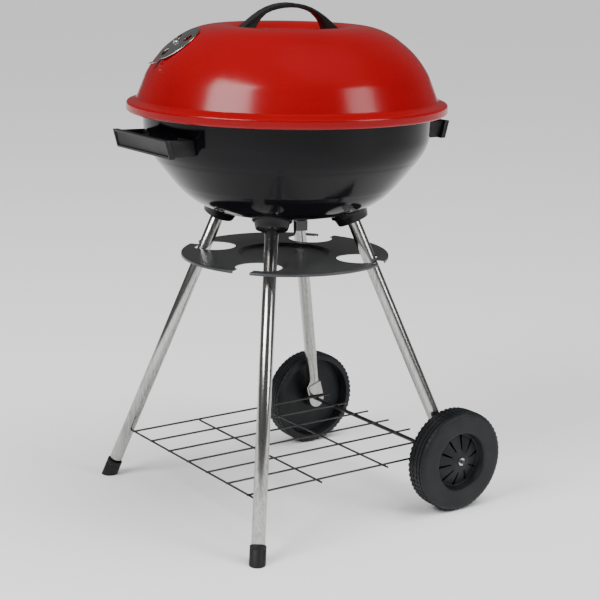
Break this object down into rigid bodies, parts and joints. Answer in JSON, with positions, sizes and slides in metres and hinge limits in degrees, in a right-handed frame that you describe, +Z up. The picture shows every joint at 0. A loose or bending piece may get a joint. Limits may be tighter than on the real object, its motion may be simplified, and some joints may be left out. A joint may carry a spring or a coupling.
{
  "type": "kettle charcoal grill",
  "caption": "Round kettle charcoal grill with a domed lid, side grips, splayed tube legs, a wire rack, an ash tray and a wheeled end.",
  "frame": {"origin": "middle of the footprint's bounding box, on the ground", "axes": "+Z up; X along the wheel axle; +Y from the two foot legs towards the wheels"},
  "size_m": [0.456, 0.497, 0.728],
  "materials": {
    "red_enamel": "glossy baked enamel",
    "black_enamel": "glossy baked enamel",
    "satin_black": "satin heat-proof paint",
    "leg_steel": "polished tube with a fine drawn grain",
    "bright_zinc": "bright plated",
    "handle_plastic": "moulded, fine matte grain",
    "socket_plastic": "moulded, smooth",
    "wheel_plastic": "moulded, matte",
    "black_wire": "black coated wire",
    "grate_steel": "plated wire"
  },
  "bodies": {
    "stand": {"bowl": "black_enamel", "bowl_vent_rivet": "bright_zinc", "socket_foot_right": "socket_plastic", "socket_foot_left": "socket_plastic", "socket_wheel_right": "socket_plastic", "socket_wheel_left": "socket_plastic", "socket_bolts": "bright_zinc", "foot_leg_right": "leg_steel", "foot_leg_left": "leg_steel", "wheel_leg_right": "leg_steel", "wheel_leg_left": "leg_steel", "foot_cap_right": "handle_plastic", "foot_cap_left": "handle_plastic", "axle": "black_wire", "axle_clips": "bright_zinc", "axle_washers": "bright_zinc", "bottom_rack": "black_wire", "grate_rests": "satin_black", "coal_rests": "satin_black", "side_handle_foot_side": "handle_plastic", "side_handle_wheel_side": "handle_plastic", "side_handle_bolts": "bright_zinc", "side_handle_nuts": "bright_zinc"},
    "lid": {"lid": "red_enamel", "lid_vent_rivet": "bright_zinc", "lid_handle": "handle_plastic", "lid_handle_screws": "bright_zinc"},
    "lid_vent": {"lid_vent_disc": "bright_zinc"},
    "bowl_vent": {"bowl_vent_disc": "satin_black"},
    "tray": {"ash_tray": "satin_black"},
    "cooking_grate": {"cooking_grate": "grate_steel"},
    "charcoal_grate": {"charcoal_grate": "black_wire"},
    "wheel_right": {"wheel_right": "wheel_plastic"},
    "wheel_left": {"wheel_left": "wheel_plastic"}
  },
  "joints": [
    {"name": "lid_lift", "type": "slide", "parent": "stand", "child": "lid", "axis": [0, 0, 1], "range_m": [0, 0.25]},
    {"name": "lid_vent_turn", "type": "hinge", "parent": "lid", "child": "lid_vent", "pos_m": [-0.03907, -0.1637, 0.6742], "axis": [-0.1439, -0.5772, 0.8039], "range_deg": [0, 60]},
    {"name": "bowl_vent_turn", "type": "hinge", "parent": "stand", "child": "bowl_vent", "pos_m": [0, -0.007, 0.4315], "axis": [0, 0, 1], "range_deg": [0, 36]},
    {"name": "tray_turn", "type": "hinge", "parent": "stand", "child": "tray", "pos_m": [0, -0.007, 0.37], "axis": [0, 0, 1], "range_deg": [0, 14]},
    {"name": "cooking_grate_lift", "type": "slide", "parent": "stand", "child": "cooking_grate", "axis": [0, 0, 1], "range_m": [0, 0.012]},
    {"name": "charcoal_grate_lift", "type": "slide", "parent": "stand", "child": "charcoal_grate", "axis": [0, 0, 1], "range_m": [0, 0.03]},
    {"name": "wheel_right_spin", "type": "hinge", "parent": "stand", "child": "wheel_right", "pos_m": [0.1855, 0.1735, 0.075], "axis": [1, 0, 0], "continuous": true},
    {"name": "wheel_left_spin", "type": "hinge", "parent": "stand", "child": "wheel_left", "pos_m": [-0.1855, 0.1735, 0.075], "axis": [1, 0, 0], "continuous": true}
  ]
}
